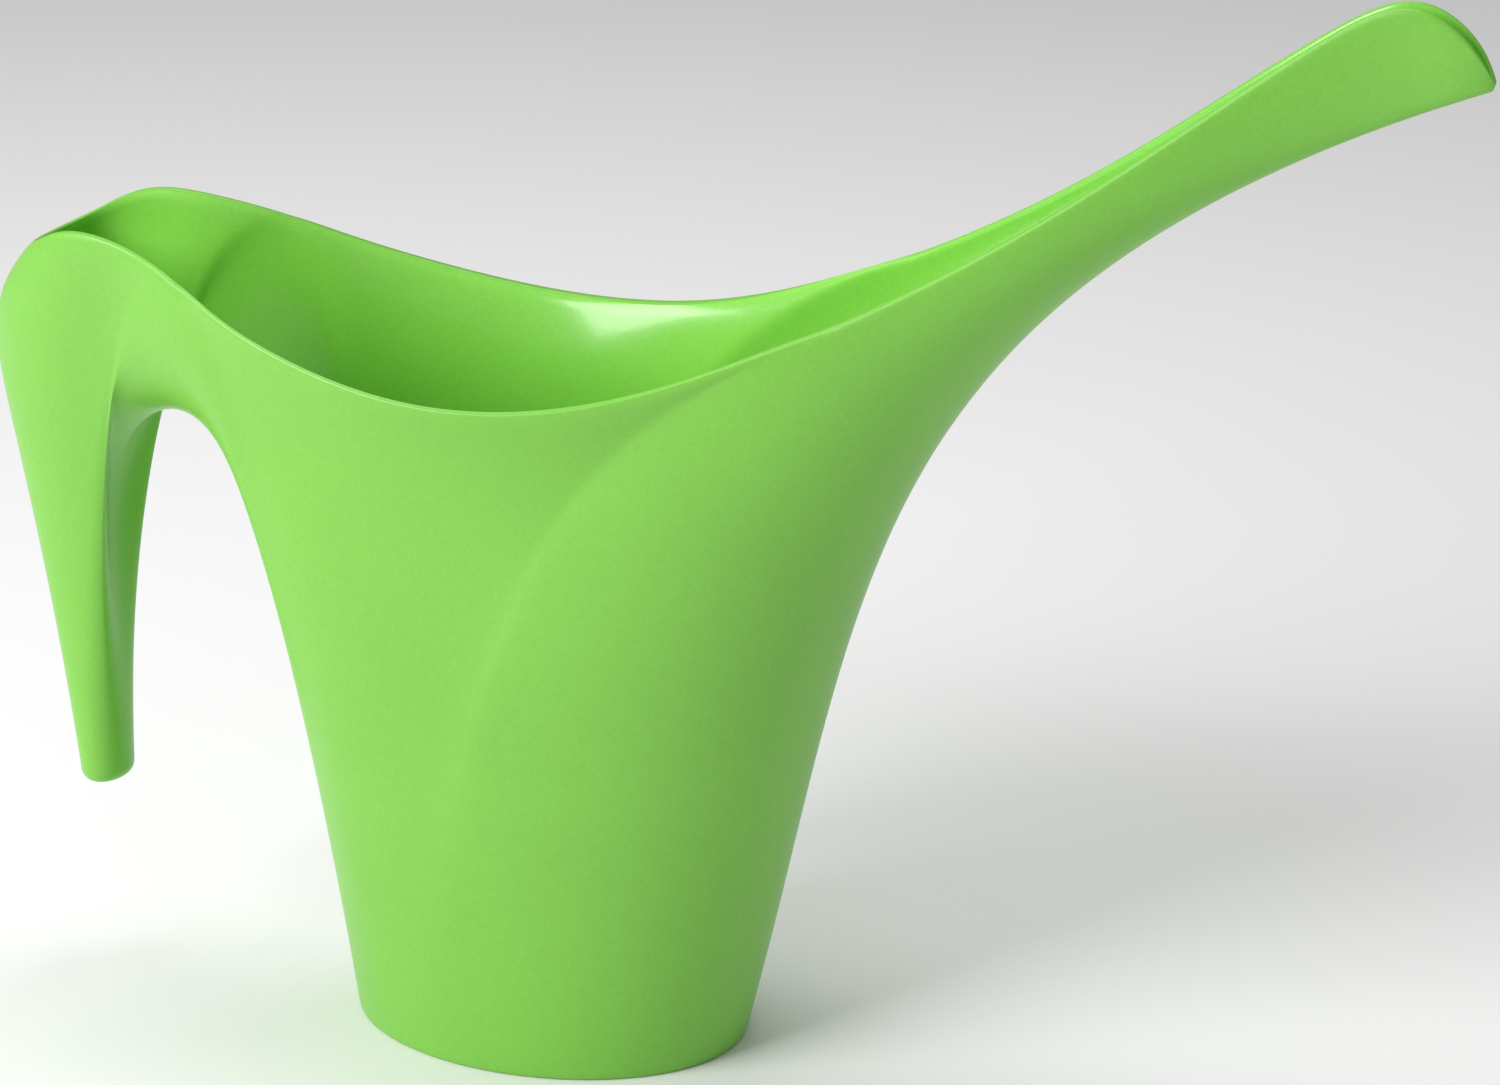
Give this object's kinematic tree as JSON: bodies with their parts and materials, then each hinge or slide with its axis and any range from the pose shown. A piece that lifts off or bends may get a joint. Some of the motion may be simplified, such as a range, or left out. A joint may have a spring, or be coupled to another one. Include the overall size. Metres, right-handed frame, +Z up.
{
  "type": "watering can",
  "caption": "Open-topped watering can moulded in one sweep, with a long open gutter spout and a hollow hanging handle.",
  "frame": {"origin": "centre of the oval base, on the surface it stands on", "axes": "+X towards the spout, +Z up; the can is symmetric about the XZ plane"},
  "size_m": [0.3525, 0.0916, 0.2612],
  "materials": {
    "green_plastic": "satin moulded polypropylene, apple green"
  },
  "bodies": {
    "root": {"vessel_wall": "green_plastic", "vessel_floor": "green_plastic", "spout_throat": "green_plastic", "spout_gutter": "green_plastic", "spout_lip": "green_plastic", "handle_arch": "green_plastic", "handle_shoulder": "green_plastic", "handle_leg": "green_plastic", "handle_tip": "green_plastic"}
  },
  "joints": []
}
